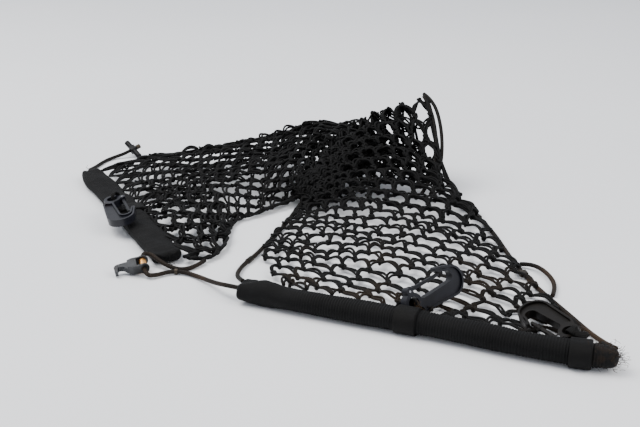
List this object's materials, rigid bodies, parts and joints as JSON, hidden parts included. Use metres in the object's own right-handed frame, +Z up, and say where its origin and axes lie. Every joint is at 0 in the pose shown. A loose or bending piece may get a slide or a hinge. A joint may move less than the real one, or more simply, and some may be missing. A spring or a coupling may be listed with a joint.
{
  "type": "cargo net",
  "caption": "Knotted elastic cargo net lying in a loose heap between two webbing sleeves, with snap hooks on tape loops, a small cord hook and a cord toggle.",
  "frame": {"origin": "middle of the net on the surface it lies on", "axes": "+Z up, +X along the front sleeve towards its tape end, +Y towards the back of the heap"},
  "size_m": [0.6178, 0.7023, 0.1174],
  "materials": {
    "webbing": "ribbed woven polyester tube, matt black",
    "net_cord": "braided elastic strand, black with a soft sheen",
    "edge_cord": "braided elastic cord, black to dark brown",
    "hook_plastic": "moulded dark plastic, satin",
    "gate_plastic": "thin moulded gate, satin",
    "pin_steel": "plain steel pin",
    "tape": "ribbed narrow tape, black with worn edges",
    "clamp_metal": "crimped dark metal",
    "small_hook_plastic": "black plastic with grey highlights",
    "roller_brass": "worn brass",
    "toggle_plastic": "moulded toggle, satin"
  },
  "bodies": {
    "net": {"front_sleeve_webbing": "webbing", "front_sleeve_rolled_net_edge": "net_cord", "front_sleeve_border_cord": "edge_cord", "rear_sleeve_webbing": "webbing", "rear_sleeve_rolled_net_edge": "net_cord", "rear_sleeve_border_cord": "edge_cord", "front_net": "net_cord", "rear_net": "net_cord", "net_heap": "net_cord", "left_edge_cord": "edge_cord", "right_edge_cord": "edge_cord", "right_slack_cord": "edge_cord", "peak_edge_cords": "edge_cord", "corner_cord": "edge_cord", "toggle_cord": "edge_cord", "left_edge_clamp": "clamp_metal", "right_edge_ferrules": "clamp_metal", "corner_cord_crimp": "clamp_metal", "toggle_cord_sleeve": "clamp_metal", "front_hook_tape_loop": "tape", "side_hook_tape_loop": "tape", "rear_hook_tape_loop": "tape"},
    "front_hook": {"front_hook": "hook_plastic", "front_hook_gate_pin": "pin_steel"},
    "front_hook_gate": {"front_hook_gate": "gate_plastic"},
    "side_hook": {"side_hook": "hook_plastic", "side_hook_gate_pin": "pin_steel"},
    "side_hook_gate": {"side_hook_gate": "gate_plastic"},
    "rear_hook": {"rear_hook": "hook_plastic", "rear_hook_gate_pin": "pin_steel"},
    "rear_hook_gate": {"rear_hook_gate": "gate_plastic"},
    "corner_hook": {"corner_hook": "small_hook_plastic", "corner_hook_roller": "roller_brass"},
    "toggle": {"toggle_bar": "toggle_plastic"}
  },
  "joints": [
    {"name": "front_hook_swing", "type": "hinge", "parent": "net", "child": "front_hook", "pos_m": [0.124, -0.225, 0.019], "axis": [0.5487, -0.7663, 0.3343], "range_deg": [0, 45]},
    {"name": "front_hook_gate_hinge", "type": "hinge", "parent": "front_hook", "child": "front_hook_gate", "pos_m": [0.11969, -0.22299, 0.03068], "axis": [0.5487, -0.7663, 0.3343], "range_deg": [-12, 0], "stiffness_Nm_per_rad": 0.02, "springref_deg": 5.73},
    {"name": "side_hook_swing", "type": "hinge", "parent": "net", "child": "side_hook", "pos_m": [0.269, -0.289, 0.0165], "axis": [-0.2884, -0.1158, 0.9505], "range_deg": [-60, 20]},
    {"name": "side_hook_gate_hinge", "type": "hinge", "parent": "side_hook", "child": "side_hook_gate", "pos_m": [0.25825, -0.2943, 0.01259], "axis": [-0.2884, -0.1158, 0.9505], "range_deg": [-12, 0], "stiffness_Nm_per_rad": 0.02, "springref_deg": 5.73},
    {"name": "rear_hook_swing", "type": "hinge", "parent": "net", "child": "rear_hook", "pos_m": [-0.229, 0.0665, 0.024], "axis": [-0.1464, -0.0995, 0.9842], "range_deg": [-60, 9]},
    {"name": "rear_hook_gate_hinge", "type": "hinge", "parent": "rear_hook", "child": "rear_hook_gate", "pos_m": [-0.21735, 0.07082, 0.02617], "axis": [-0.1464, -0.0995, 0.9842], "range_deg": [-12, 0], "stiffness_Nm_per_rad": 0.02, "springref_deg": 5.73},
    {"name": "corner_hook_swing", "type": "hinge", "parent": "net", "child": "corner_hook", "pos_m": [-0.165, -0.1045, 0.0108], "axis": [-0.2501, 0.9354, 0.2501], "range_deg": [0, 60]},
    {"name": "toggle_turn", "type": "hinge", "parent": "net", "child": "toggle", "pos_m": [-0.2495, 0.341, 0.0115], "axis": [0.8004, 0.5003, 0.3302], "range_deg": [-40, 0]}
  ]
}
